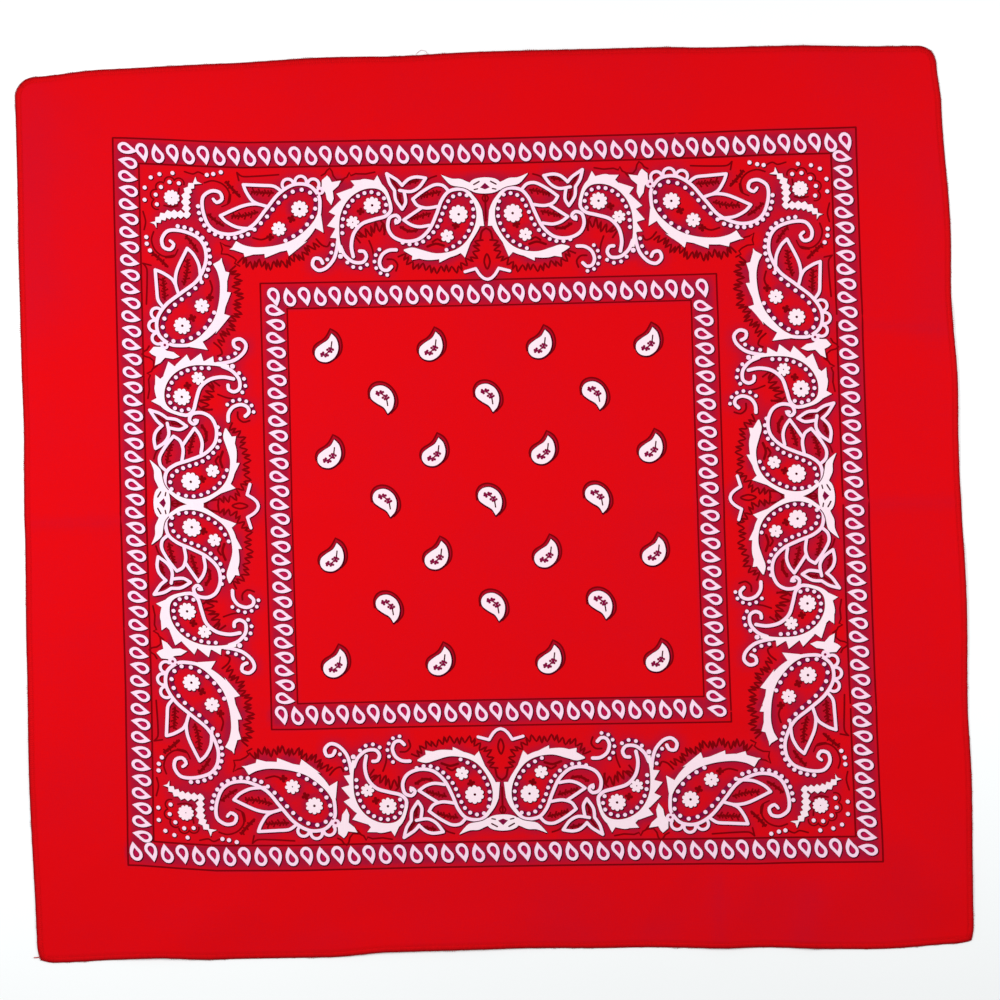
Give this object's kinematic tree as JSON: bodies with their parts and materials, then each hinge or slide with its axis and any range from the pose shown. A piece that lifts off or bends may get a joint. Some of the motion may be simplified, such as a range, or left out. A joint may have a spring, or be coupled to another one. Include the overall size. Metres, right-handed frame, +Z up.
{
  "type": "bandana",
  "caption": "Square cotton bandana with a paisley print and overlocked edges, spread flat with soft packing creases.",
  "frame": {"origin": "on the surface under the middle of the outline", "axes": "+X along the front edge, +Y from the front edge to the back edge, +Z up out of the printed face"},
  "size_m": [0.56, 0.5406, 0.0033],
  "materials": {
    "cotton_cloth": "plain woven cotton dyed bright red, matt",
    "overlock_thread": "red spun thread wrapped closely over the cut edge",
    "print_white": "white discharge print in the weave, matt",
    "print_dark": "black ink print in the weave, matt",
    "print_crimson": "dark ink over red cloth, matt"
  },
  "bodies": {
    "root": {"cloth_panel": "cotton_cloth", "edge_front": "overlock_thread", "edge_right": "overlock_thread", "edge_back": "overlock_thread", "edge_left": "overlock_thread"}
  },
  "joints": []
}
